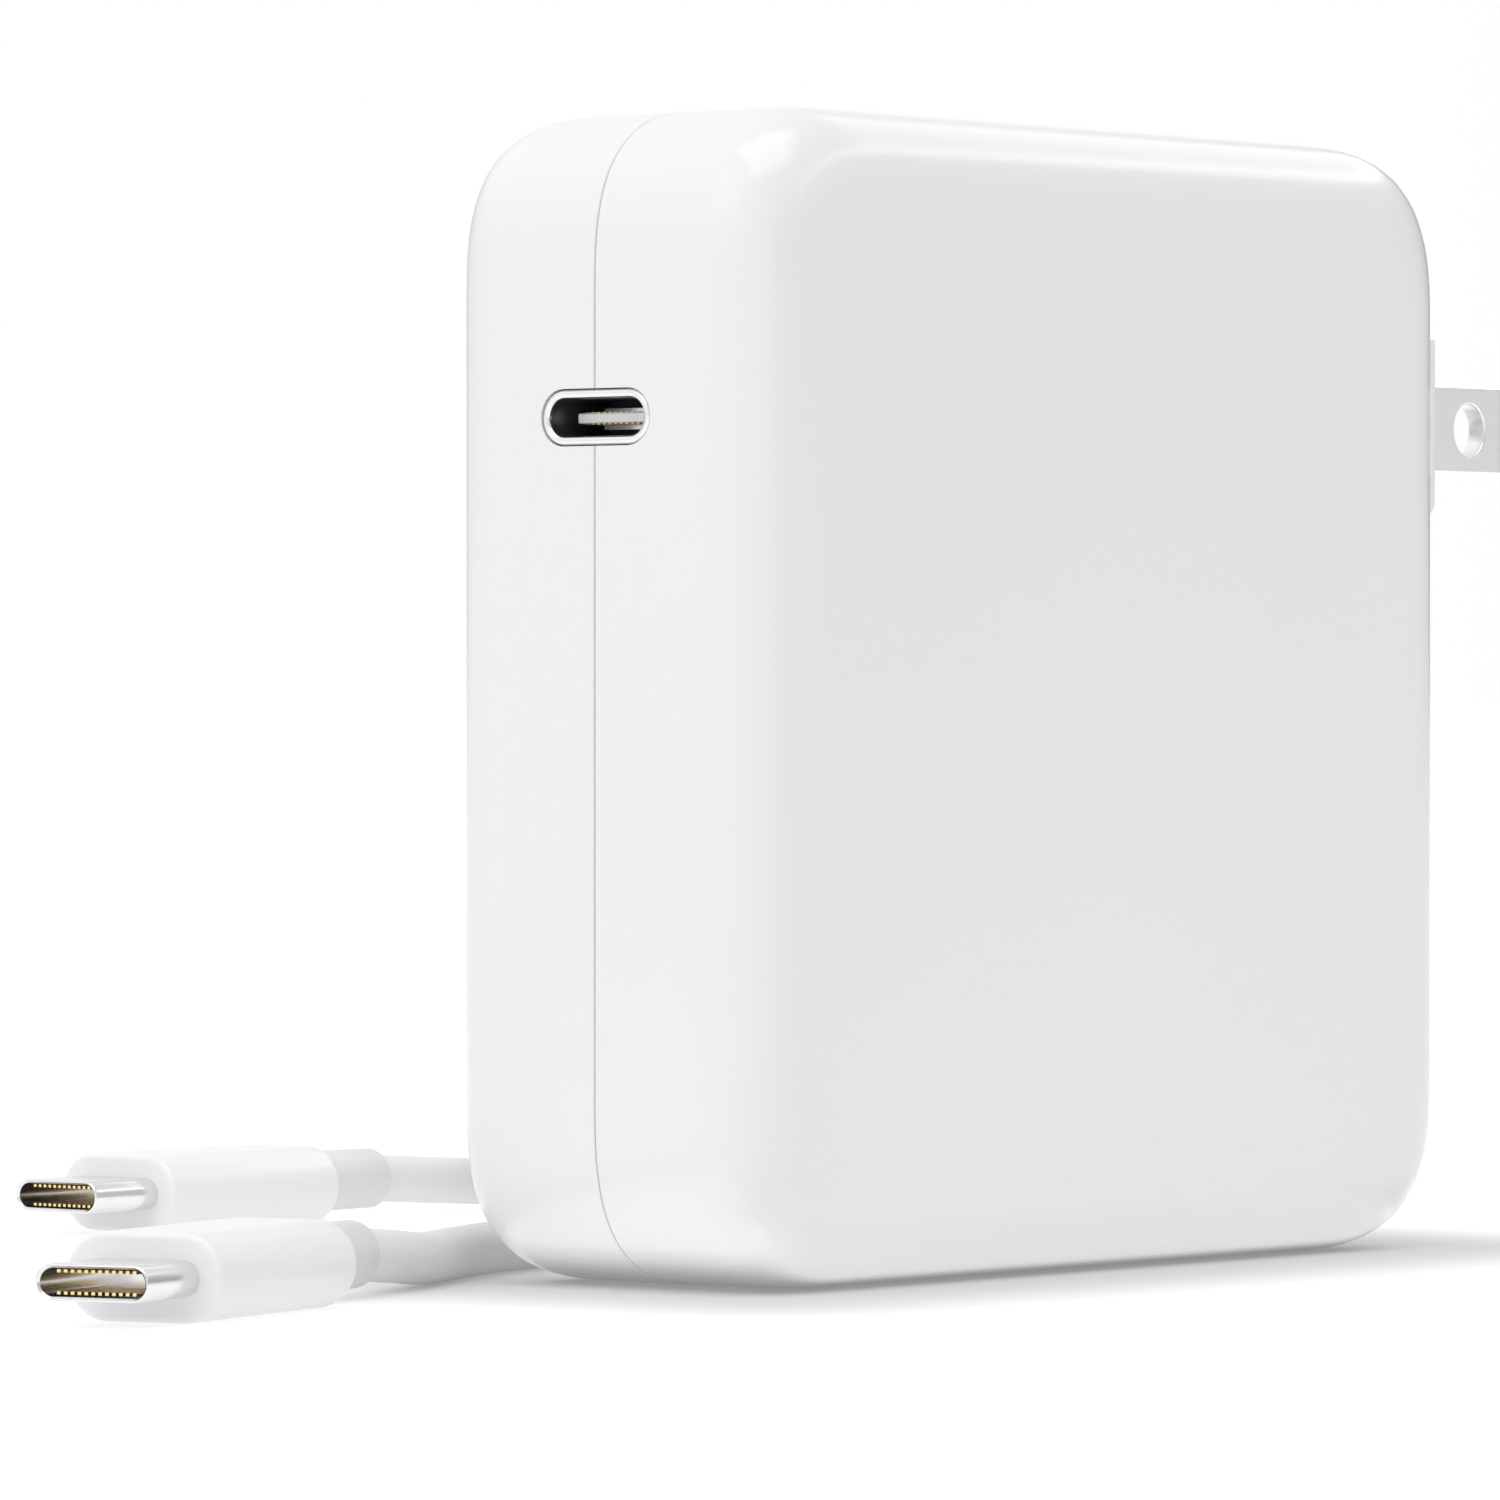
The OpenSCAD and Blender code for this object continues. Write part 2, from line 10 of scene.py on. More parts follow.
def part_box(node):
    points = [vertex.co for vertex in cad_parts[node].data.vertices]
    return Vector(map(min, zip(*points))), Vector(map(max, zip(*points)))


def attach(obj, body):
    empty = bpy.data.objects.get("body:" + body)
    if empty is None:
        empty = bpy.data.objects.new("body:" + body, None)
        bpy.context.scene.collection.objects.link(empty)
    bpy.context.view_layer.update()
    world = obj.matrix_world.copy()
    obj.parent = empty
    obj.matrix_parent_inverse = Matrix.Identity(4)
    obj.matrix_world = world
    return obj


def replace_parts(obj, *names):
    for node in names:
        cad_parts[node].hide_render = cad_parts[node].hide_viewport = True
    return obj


MM = 0.001
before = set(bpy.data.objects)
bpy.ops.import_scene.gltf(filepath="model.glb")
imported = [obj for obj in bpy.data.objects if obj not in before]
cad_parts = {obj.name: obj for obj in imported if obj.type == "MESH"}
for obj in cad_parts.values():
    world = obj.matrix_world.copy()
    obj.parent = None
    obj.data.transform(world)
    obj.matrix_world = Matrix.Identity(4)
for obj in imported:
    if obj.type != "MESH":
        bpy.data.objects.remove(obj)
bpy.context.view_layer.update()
ADAPTER = "adapter"
PLUG = "folding_plug"

# ---- Sizes, in millimetres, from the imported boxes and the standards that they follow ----


def cad(node):
    """A CAD node's lowest and highest corner in millimetres."""
    low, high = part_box(node)
    return low / MM, high / MM


# The case: half sizes, corner and edge roundings with their superelliptic exponent, wall and seam
SHELL_HIGH = cad("back_cover")[1]
HALF_W, HALF_T = SHELL_HIGH.x, SHELL_HIGH.y
CORNER_R, CORNER_STEPS = 13.0, 26
EDGE_R, EDGE_STEPS = 7.5, 18
SQUARENESS = 2.9
WALL = 2.2
SEAM_Y = cad("front_cover")[1].y
SEAM_HALF_GAP = 0.03
SEAM_GROOVE = 0.12

# Clearance round what sits in the case's windows, and how far a cutter reaches past what it cuts
FIT = 0.05
PAST = 2.0

# The socket's drawn shell: a thick rim in front of a thin sleeve. Its steel is coloured dark from the
# distance below behind its mouth on, as painted shade inside the socket
SOCKET_LOW, SOCKET_HIGH = cad("usb_c_shell")
SOCKET_Z = (SOCKET_LOW.z + SOCKET_HIGH.z) / 2
RIM_W, RIM_T = SOCKET_HIGH.y * 2, SOCKET_HIGH.z - SOCKET_LOW.z
OPENING_W = 8.34
RIM_DEPTH = 1.2
SLEEVE_SHEET = 0.3
SLEEVE_DEPTH = 9.0
SLEEVE_BEVEL = 0.2
PAINTED_SHADE_FROM = 0.75

# The fold-away plug: carrier, the well and the round bosses that it turns between, blades and slots
PIN_LOW, PIN_HIGH = cad("pivot_pin")
PIVOT = Vector(((PIN_LOW.x + PIN_HIGH.x) / 2, 0, (PIN_LOW.z + PIN_HIGH.z) / 2))
PIN_BORE_R = 1.3
CARRIER_LOW, CARRIER_HIGH = cad("prong_carrier")
CARRIER_SWEEP_R = 9.5
CARRIER_RECESS_R, CARRIER_RECESS_Y = 4.2, 10.2
ROOT_GAP, ROOT_DEPTH = 0.15, 0.6
HOUSING_LOW, HOUSING_HIGH = cad("plug_housing")
WELL_SEAT_R = 6.65
WELL_SWEEP_R = 9.8
WELL_HALF_W = 11.45
BOSS_R, BOSS_FROM, BOSS_TO = 3.9, 10.3, 13.0
BLADE_Y = 6.35
BLADE_START = 1.9
BLADE_CORNER_R = 1.1
BLADE_HOLE_X, BLADE_HOLE_R = 17.7, 1.95
TIP_BEVEL_L, TIP_BEVEL_SLOPE = 2.5, 0.18
SLOT_HALF_W, SLOT_DEPTH, SLOT_FOOT_Z, SLOT_HEAD = 1.05, 3.6, 35.7, 2.0
POCKET_HALF_W, POCKET_HALF_H, POCKET_FRONT = 2.3, 3.0, 6.0
SCOOP_X, SCOOP_Z, SCOOP_R, SCOOP_HALF_W = HALF_W + 3, 40.5, 6.5, 4.3

# The cable and its plugs: steel tip, moulded grip, strain relief
CABLE_R = 1.8
TIP_W, TIP_T, TIP_L = 8.25, 2.4, 6.65
TIP_SHEET, TIP_LIP, TIP_DEPTH = 0.28, 0.14, 5.8
GRIP_W, GRIP_T, GRIP_L = 11.5, 5.8, 18.6
GRIP_EDGE_R = 0.45
RELIEF_L, RELIEF_R = 9.8, CABLE_R + 0.5
TIE_THICK, TIE_EDGE, TIE_CORNER_R, TIE_SLACK = 0.5, 0.15, 2.2, 0.05
PLUG_A = {"at": Vector((22, 75.8, 2.9)), "turn": math.radians(180)}
PLUG_B = {"at": Vector((-54, 9.4, 2.9)), "turn": math.radians(194)}

# ---- Camera ----

# A level camera with a long lens. Its turn is from +Y towards +X, its distance and height are in
# millimetres
CAMERA_TURN = math.radians(51.7)
CAMERA_AWAY = 671.0
CAMERA_Z = 40.0
SENSOR = 36.0
LENS = 228.2
SHIFT_X = -0.1425
SHIFT_Y = -0.0347


def make_camera():
    data = bpy.data.cameras.new("camera")
    data.sensor_width = SENSOR
    data.lens = LENS
    data.shift_x, data.shift_y = SHIFT_X, SHIFT_Y
    data.clip_start, data.clip_end = 0.01, 200
    cam = bpy.data.objects.new("camera", data)
    bpy.context.collection.objects.link(cam)
    ahead = Vector((math.sin(CAMERA_TURN), math.cos(CAMERA_TURN), 0))
    cam.location = (Vector((0, 0, CAMERA_Z)) - ahead * CAMERA_AWAY) * MM
    cam.rotation_mode = "QUATERNION"
    cam.rotation_quaternion = ahead.to_track_quat("-Z", "Y")
    bpy.context.scene.camera = cam


make_camera()

# ---- Mesh helpers ----


def link(name, data, body):
    """A new piece that rides on a body."""
    piece = bpy.data.objects.new(name, data)
    bpy.context.collection.objects.link(piece)
    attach(piece, body)
    return piece


def mesh_from(name, points, faces):
    mesh = bpy.data.meshes.new(name)
    mesh.from_pydata([Vector(p) * MM for p in points], [], faces)
    mesh.update()
    return mesh


def smooth(mesh, angle=32):
    """Smooth shading that keeps edges over this many degrees sharp."""
    for face in mesh.polygons:
        face.use_smooth = True
    mesh.set_sharp_from_angle(angle=math.radians(angle))
    return mesh


def loft(name, rings, caps=(True, True)):
    """A mesh through rings of equally many points, closed at the asked ends."""
    n = len(rings[0])
    points = [p for ring in rings for p in ring]
    faces = []
    for k in range(len(rings) - 1):
        for i in range(n):
            j = (i + 1) % n
            faces.append((k * n + i, k * n + j, (k + 1) * n + j, (k + 1) * n + i))
    last = (len(rings) - 1) * n
    if caps[0]:
        faces.append(tuple(range(n - 1, -1, -1)))
    if caps[1]:
        faces.append(tuple(last + i for i in range(n)))
    return outward(mesh_from(name, points, faces))


def outward(mesh, weld=0.0):
    """The mesh with its faces turned outwards, and with points nearer than a weld distance joined."""
    bm = bmesh.new()
    bm.from_mesh(mesh)
    if weld:
        bmesh.ops.remove_doubles(bm, verts=bm.verts, dist=weld)
    bmesh.ops.recalc_face_normals(bm, faces=bm.faces)
    bm.to_mesh(mesh)
    bm.free()
    return mesh


def ring_shaped(name, rings):
    """A loft whose last ring is its first one again, joined there."""
    return outward(loft(name, rings, caps=(False, False)), weld=0.001 * MM)


def prism_y(name, outline, y0, y1):
    """An outline in X and Z, extruded along Y."""
    return loft(name, [[(x, y, z) for x, z in outline] for y in (y0, y1)])


def box_mesh(name, low, high):
    x0, y0, z0 = low
    x1, y1, z1 = high
    rings = [[(x0, y, z0), (x1, y, z0), (x1, y, z1), (x0, y, z1)] for y in (y0, y1)]
    return loft(name, rings)


def fan(start, end, steps):
    """Even angles in radians between two angles in degrees."""
    return [math.radians(start + (end - start) * i / steps) for i in range(steps + 1)]


def arc(cx, cz, r, start, end, steps):
    """Points of an arc in the X-Z plane, angles in degrees from +X towards +Z."""
    return [(cx + r * math.cos(a), cz + r * math.sin(a)) for a in fan(start, end, steps)]


def cylinder_y(name, x, z, r, y0, y1, steps=72):
    return prism_y(name, arc(x, z, r, 0, 360 - 360 / steps, steps - 1), y0, y1)


def temporary(mesh):
    """An object that holds a mesh while modifiers work on it."""
    host = bpy.data.objects.new("temporary", mesh)
    bpy.context.collection.objects.link(host)
    return host


def boolean(mesh, cutters, operation="DIFFERENCE"):
    """The mesh with cutter meshes taken from it, or what it has in common with them."""
    host = temporary(mesh)
    tools = [temporary(cutter) for cutter in cutters]
    for tool in tools:
        step = host.modifiers.new("cut", "BOOLEAN")
        step.operation, step.object, step.solver = operation, tool, "EXACT"
    return baked(host, tools)


def baked(host, extra=()):
    """The evaluated mesh of an object with its modifiers applied. The object and extras are removed."""
    graph = bpy.context.evaluated_depsgraph_get()
    result = bpy.data.meshes.new_from_object(host.evaluated_get(graph))
    for gone in [host, *extra]:
        bpy.data.objects.remove(gone)
    return result


def rounded(mesh, width, segments=3, angle=35):
    """The mesh with its sharp edges rounded to a width in millimetres and its flats shaded flat."""
    host = temporary(mesh)
    bevel = host.modifiers.new("round", "BEVEL")
    bevel.width, bevel.segments = width * MM, segments
    bevel.limit_method, bevel.angle_limit = "ANGLE", math.radians(angle)
    bevel.use_clamp_overlap, bevel.miter_outer = True, "MITER_ARC"
    return weighted(baked(host))


def weighted(mesh, angle=40):
    """Face-area weighted normals, so that flat faces look flat up to their rounded edges."""
    host = temporary(smooth(mesh, angle))
    normals = host.modifiers.new("weigh", "WEIGHTED_NORMAL")
    normals.keep_sharp, normals.weight = True, 60
    return baked(host)


# ---- Materials ----

# What a noise texture mostly stays between
NOISE_LOW, NOISE_HIGH = 0.22, 0.78


def set_range(node, low_in, high_in, low_out=0.0, high_out=1.0):
    """Sets what a Map Range node takes in and gives out."""
    node.inputs["From Min"].default_value, node.inputs["From Max"].default_value = low_in, high_in
    node.inputs["To Min"].default_value, node.inputs["To Max"].default_value = low_out, high_out


def material(name, colour, rough, metal=0.0, **extra):
    """A principled material with its own node tree. Extra inputs go on the shader's own sockets."""
    mat = bpy.data.materials.new(name)
    mat.use_nodes = True
    shader = mat.node_tree.nodes["Principled BSDF"]
    shader.inputs["Base Color"].default_value = (*colour, 1)
    shader.inputs["Roughness"].default_value = rough
    shader.inputs["Metallic"].default_value = metal
    for socket, value in extra.items():
        shader.inputs[socket].default_value = value
    return mat


def place_texture(mat, scale):
    """Object coordinates stretched by a scale per axis."""
    nodes, links = mat.node_tree.nodes, mat.node_tree.links
    coords = nodes.new("ShaderNodeTexCoord")
    mapping = nodes.new("ShaderNodeMapping")
    mapping.inputs["Scale"].default_value = scale
    links.new(coords.outputs["Object"], mapping.inputs["Vector"])
    return mapping.outputs["Vector"]


def noise(mat, size_mm, detail=3.0, stretch=(1, 1, 1)):
    """A noise whose grain measures about size_mm."""
    node = mat.node_tree.nodes.new("ShaderNodeTexNoise")
    node.inputs["Scale"].default_value = 1.0
    node.inputs["Detail"].default_value = detail
    scale = [s / (size_mm * MM) for s in stretch]
    mat.node_tree.links.new(place_texture(mat, scale), node.inputs["Vector"])
    return node.outputs["Fac"]


def spread(mat, value, low, high):
    """Maps a noise onto a range."""
    node = mat.node_tree.nodes.new("ShaderNodeMapRange")
    node.interpolation_type = "SMOOTHSTEP"
    set_range(node, NOISE_LOW, NOISE_HIGH, low, high)
    mat.node_tree.links.new(value, node.inputs["Value"])
    return node.outputs["Result"]


def vary_roughness(mat, size_mm, low, high, stretch=(1, 1, 1), detail=3.0):
    """Roughness that wanders between two values over patches of about size_mm."""
    shader = mat.node_tree.nodes["Principled BSDF"]
    mat.node_tree.links.new(
        spread(mat, noise(mat, size_mm, detail, stretch), low, high), shader.inputs["Roughness"]
    )


def vary_colour(mat, size_mm, first, second, stretch=(1, 1, 1), detail=3.0):
    """Colour that wanders between two tones over patches of about size_mm."""
    nodes, links = mat.node_tree.nodes, mat.node_tree.links
    mix = nodes.new("ShaderNodeMix")
    mix.data_type = "RGBA"
    mix.inputs["A"].default_value, mix.inputs["B"].default_value = (*first, 1), (*second, 1)
    links.new(spread(mat, noise(mat, size_mm, detail, stretch), 0, 1), mix.inputs["Factor"])
    links.new(mix.outputs["Result"], nodes["Principled BSDF"].inputs["Base Color"])


def add_bump(mat, size_mm, height_mm, strength, stretch=(1, 1, 1), detail=2.0):
    """Fine relief with a grain of about size_mm."""
    nodes, links = mat.node_tree.nodes, mat.node_tree.links
    bump = nodes.new("ShaderNodeBump")
    bump.inputs["Strength"].default_value = strength
    bump.inputs["Distance"].default_value = height_mm * MM
    links.new(noise(mat, size_mm, detail, stretch), bump.inputs["Height"])
    links.new(bump.outputs["Normal"], nodes["Principled BSDF"].inputs["Normal"])


def gloss_white(name, tone, rough):
    """Glossy moulded plastic, nearly even, with a thin clear skin."""
    skin = {"Specular IOR Level": 0.5, "Coat Weight": 0.15, "Coat Roughness": 0.12}
    mat = material(name, tone, rough, **skin)
    vary_roughness(mat, 9, rough - 0.012, rough + 0.012, detail=0)
    vary_colour(mat, 30, tone, [c * 0.992 for c in tone], detail=0)
    add_bump(mat, 0.4, 0.004, 0.08, detail=0)
    return mat


def metal(name, tone, rough, stretch=(1, 1, 1)):
    """Drawn or rolled metal, its marks stretched along an axis."""
    mat = material(name, tone, rough, 1.0)
    vary_roughness(mat, 1.5, rough - 0.05, rough + 0.06, stretch)
    add_bump(mat, 0.25, 0.01, 0.12, stretch)
    return mat


def brushed(name, tone, rough):
    """Rolled metal with faint long lines along the blade."""
    mat = material(name, tone, rough, 1.0)
    vary_roughness(mat, 0.5, rough - 0.01, rough + 0.03, (0.05, 1, 1), detail=1)
    add_bump(mat, 0.18, 0.002, 0.06, (0.04, 1, 1), detail=1)
    return mat


def soft_white(name, tone, rough):
    """Matte soft plastic with a very fine moulded grain."""
    mat = material(name, tone, rough)
    vary_roughness(mat, 6, rough - 0.03, rough + 0.03, detail=1)
    vary_colour(mat, 25, tone, [c * 0.98 for c in tone], detail=0)
    add_bump(mat, 0.25, 0.004, 0.08, detail=0)
    return mat


def plain(name, tone, rough):
    """Plastic, ceramic or film of the inside parts, a little uneven all over."""
    mat = material(name, tone, rough)
    vary_roughness(mat, 2.5, max(rough - 0.06, 0.05), rough + 0.06)
    vary_colour(mat, 3, tone, [c * 0.9 for c in tone])
    add_bump(mat, 0.5, 0.02, 0.15)
    return mat


CASE = gloss_white("case_plastic", (0.745, 0.745, 0.75), 0.22)
HOUSING = gloss_white("housing_plastic", (0.74, 0.74, 0.745), 0.33)
GRIP = gloss_white("grip_plastic", (0.78, 0.78, 0.79), 0.33)
JACKET = soft_white("cable_plastic", (0.74, 0.74, 0.755), 0.48)
RELIEF = soft_white("relief_plastic", (0.70, 0.70, 0.72), 0.50)
BLADE = brushed("blade_metal", (0.88, 0.88, 0.89), 0.30)
SPRING = metal("spring_steel", (0.60, 0.61, 0.63), 0.30)
BRONZE = metal("bronze", (0.72, 0.50, 0.28), 0.32)
GOLD = metal("gold_contact", (0.90, 0.70, 0.34), 0.25)
STEEL = metal("socket_steel", (0.80, 0.80, 0.81), 0.20, (0.2, 1, 1))
# The socket's steel coloured dark: painted shade inside the socket
STEEL_PAINTED_SHADE = metal("socket_steel_painted_shade", (0.20, 0.20, 0.21), 0.42)
TONGUE = plain("socket_insulator", (0.98, 0.98, 0.98), 0.40)
DARK = plain("dark_insulator", (0.035, 0.035, 0.04), 0.45)
FERRITE = plain("ferrite", (0.06, 0.06, 0.065), 0.62)
TAPE = plain("tape", (0.75, 0.55, 0.06), 0.30)
FUSE = plain("fuse_body", (0.76, 0.73, 0.68), 0.25)
BOX_YELLOW = plain("film_yellow", (0.80, 0.52, 0.05), 0.40)
SLEEVE_BLACK = plain("capacitor_black", (0.015, 0.015, 0.02), 0.25)
SLEEVE_BLUE = plain("capacitor_blue", (0.04, 0.12, 0.36), 0.25)
DISC_BLUE = plain("disc_blue", (0.06, 0.18, 0.48), 0.35)
PAD = plain("thermal_pad", (0.38, 0.50, 0.62), 0.70)
ALUMINIUM = metal("aluminium", (0.80, 0.81, 0.82), 0.34, (1, 1, 0.12))
FILM = plain("insulation", (0.80, 0.60, 0.24), 0.28)
WIRE_BROWN = plain("wire_brown", (0.16, 0.07, 0.03), 0.45)
WIRE_BLUE = plain("wire_blue", (0.03, 0.09, 0.34), 0.45)


def board_material():
    """Solder mask with the faint relief of the copper under it."""
    mat = material("board", (0.02, 0.12, 0.06), 0.30)
    vary_colour(mat, 2.2, (0.015, 0.10, 0.05), (0.04, 0.17, 0.08), (1, 0.2, 1))
    add_bump(mat, 1.2, 0.04, 0.4)
    return mat


def copper_material():
    """Enamelled copper wire, wound in fine turns."""
    mat = material("copper_winding", (0.55, 0.20, 0.06), 0.28, 0.9)
    nodes, links = mat.node_tree.nodes, mat.node_tree.links
    wave = nodes.new("ShaderNodeTexWave")
    wave.bands_direction = "Y"
    wave.inputs["Scale"].default_value = 1.0
    links.new(place_texture(mat, [0.5 / (0.7 * MM)] * 3), wave.inputs["Vector"])
    bump = nodes.new("ShaderNodeBump")
    bump.inputs["Strength"].default_value, bump.inputs["Distance"].default_value = 0.8, 0.2 * MM
    links.new(wave.outputs["Fac"], bump.inputs["Height"])
    links.new(bump.outputs["Normal"], nodes["Principled BSDF"].inputs["Normal"])
    vary_colour(mat, 1.5, (0.55, 0.20, 0.06), (0.42, 0.13, 0.04))
    return mat


def fabric_material():
    """Hook-and-loop tape: a fine woven ground with short loops."""
    mat = material("tie_fabric", (0.66, 0.66, 0.68), 0.85, **{"Sheen Weight": 0.4})
    vary_colour(mat, 0.5, (0.70, 0.70, 0.72), (0.56, 0.56, 0.58))
    add_bump(mat, 0.45, 0.12, 0.8, detail=5)
    return mat


BOARD = board_material()
COPPER = copper_material()
FABRIC = fabric_material()


def dress(piece, mat):
    """Gives a piece this material and no other."""
    piece.data.materials.clear()
    piece.data.materials.append(mat)
    return piece


# ---- Cable ----

# The route where it isn't coiled, from plug A to the coil and from the coil to plug B. The coil's
# first turn starts just past the last point of RUN_A, which it replaces
RUN_A = [(22, 75.8, 2.9), (30, 75.8, 2.4), (37, 75.8, 2.1), (44, 75.8, 2.3)]
RUN_B = [
    (44, 22.2, 13.4), (36, 22.2, 13), (28, 22.2, 11.6), (20, 22.2, 9.4), (12, 22.2, 6.8),
    (4, 22.2, 4.4), (-4, 22.2, 2.8), (-12, 22, 2), (-20, 21.4, 1.8), (-28, 19.8, 1.8),
    (-35, 17.2, 1.8), (-42, 13.8, 1.9), (-48, 11.2, 2.4), (-54, 9.4, 2.9),
]

# The coil: the radius of its outermost turn's middle, and the pitch from turn to turn and layer to layer
COIL_LOW, COIL_HIGH = cad("cable_coil")
COIL_MID = (COIL_LOW + COIL_HIGH) / 2
COIL_R = 26.8
PITCH = 3.7
LAYERS = 4
TURNS = 13.5
RAMP_TURNS = 0.3
POINTS_PER_TURN = 24
ROUTE_STEP = 1.5


def coil_route():
    """The coil's centre line: layers wound inwards and outwards by turns, each on the one below.

    It starts on the coil's +Y side and, after its last half turn, ends on the -Y side.
    """
    spiral = (TURNS - RAMP_TURNS * (LAYERS - 1)) / LAYERS
    inner = COIL_R - PITCH * spiral
    level = COIL_LOW.z + CABLE_R
    stretches = []
    for layer in range(LAYERS):
        ends = (COIL_R, inner) if layer % 2 == 0 else (inner, COIL_R)
        stretches.append((spiral, *ends, 0))
        if layer < LAYERS - 1:
            stretches.append((RAMP_TURNS, ends[1], ends[1], PITCH))
    angle, points = math.pi / 2, []
    for turns, r0, r1, rise in stretches:
        steps = max(4, round(turns * POINTS_PER_TURN))
        for i in range(steps):
            t = i / steps
            a = angle - 2 * math.pi * turns * t
            r = r0 + (r1 - r0) * t
            z = level + rise * t * t * (3 - 2 * t)
            points.append((COIL_MID.x + r * math.cos(a), COIL_MID.y + r * math.sin(a), z))
        angle -= 2 * math.pi * turns
        level += rise
    return points


def catmull(points, step):
    """Points about a step apart on a smooth curve through all the points."""
    p = [Vector(q) for q in points]
    p = [2 * p[0] - p[1], *p, 2 * p[-1] - p[-2]]
    out = []
    for a, b, c, d in zip(p, p[1:], p[2:], p[3:]):
        n = max(1, round((c - b).length / step))
        slope, bend, twist = c - a, 2 * a - 5 * b + 4 * c - d, 3 * b - a - 3 * c + d
        for i in range(n):
            t = i / n
            out.append(0.5 * (2 * b + slope * t + bend * t**2 + twist * t**3))
    out.append(p[-2])
    return out


def tube_mesh(name, points, radius, sides=20):
    """A round tube along points, its ends closed, each ring turned from the last one without twist."""
    places = [Vector(p) for p in points]
    circle = fan(0, 360, sides)[:-1]
    rings, across = [], Vector((0, 0, 1))
    for k, place in enumerate(places):
        ahead = (places[min(k + 1, len(places) - 1)] - places[max(k - 1, 0)]).normalized()
        across = (across - ahead * across.dot(ahead)).normalized()
        up = ahead.cross(across)
        rings.append([place + radius * (across * math.cos(a) + up * math.sin(a)) for a in circle])
    return loft(name, rings)


def make_cable():
    """The whole cable as one tube, and its route in millimetres."""
    points = catmull([*RUN_A[:-1], *coil_route(), *RUN_B], ROUTE_STEP)
    mesh = smooth(tube_mesh("cable", points, CABLE_R), angle=60)
    cable = link("cable", mesh, ADAPTER)
    dress(cable, JACKET)
    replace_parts(cable, "cable_run_a", "cable_coil", "cable_run_b")
    return cable, points


def rounded_stadium(w, t, steps=14):
    """Points of a rectangle with full round ends in Y and Z, counter-clockwise seen from +X."""
    r = t / 2
    half = (w - t) / 2
    points = [(half + r * math.cos(a), r * math.sin(a)) for a in fan(-90, 90, steps)]
    points += [(-half + r * math.cos(a), r * math.sin(a)) for a in fan(90, 270, steps)]
    return points


def bar_rings(w, t, stations):
    """Rings along X. Each station is (x, inset) of the section."""
    return [
        [(x, y, z) for y, z in rounded_stadium(w - 2 * inset, t - 2 * inset)]
        for x, inset in stations
    ]


def edge_stations(x0, x1, r, steps=6):
    """Stations of a bar from x0 to x1 whose two ends are rounded to r."""
    start = [(x0 + r - r * math.cos(a), r - r * math.sin(a)) for a in fan(0, 90, steps)]
    end = [(x1 - r + r * math.sin(a), r - r * math.cos(a)) for a in fan(0, 90, steps)]
    return [*start, *end]


def shell_stations(x0, x1, depth, sheet, lip):
    """Outside and inside of a drawn metal shell, its mouth at x1 round outside and bevelled inside."""
    outer = [(x1 - lip + lip * math.sin(a), lip - lip * math.cos(a)) for a in fan(0, 90, 6)]
    slant = [(sheet - lip) * math.cos(a) for a in fan(0, 90, 4)]
    inner = [(x1 - (sheet - lip) + s, sheet - s) for s in slant]
    return [(x0, 0), *outer, *inner, (x1 - depth, sheet)]


def relief_rings(sides=48):
    """Rings of the round strain relief, its free end softly rounded. Each station is (x, inset)."""
    stations = [(0, 0.25), (0.08, 0.1), (0.3, 0), (RELIEF_L, -0.05)]
    circle = fan(0, 360, sides)[:-1]
    return [
        [(x, (RELIEF_R - inset) * math.cos(a), (RELIEF_R - inset) * math.sin(a)) for a in circle]
        for x, inset in stations
    ]


def place_plug(piece, spec):
    """Turns and moves a plug's piece, drawn along +X, to where the plug lies."""
    piece.data.transform(Matrix.Rotation(spec["turn"], 4, "Z"))
    piece.data.transform(Matrix.Translation(spec["at"] * MM))


def make_plug(letter, spec):
    """Shell, grip and strain relief of one cable plug."""
    front = RELIEF_L + GRIP_L
    tip = shell_stations(front, front + TIP_L, TIP_DEPTH, TIP_SHEET, TIP_LIP)
    grip = edge_stations(RELIEF_L, front, GRIP_EDGE_R)
    pieces = []
    for part, rings, slot, mat in (
        ("shell", bar_rings(TIP_W, TIP_T, tip), "socket_steel", STEEL),
        ("grip", bar_rings(GRIP_W, GRIP_T, grip), "grip_plastic", GRIP),
        ("relief", relief_rings(), "cable_plastic", RELIEF),
    ):
        node = f"plug_{letter}_{part}"
        mesh = smooth(loft(f"{node}_look", rings), angle=35)
        piece = link(f"{node}_look", mesh, ADAPTER)
        place_plug(piece, spec)
        dress(piece, mat)
        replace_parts(piece, node)
        pieces.append(piece)
    return pieces


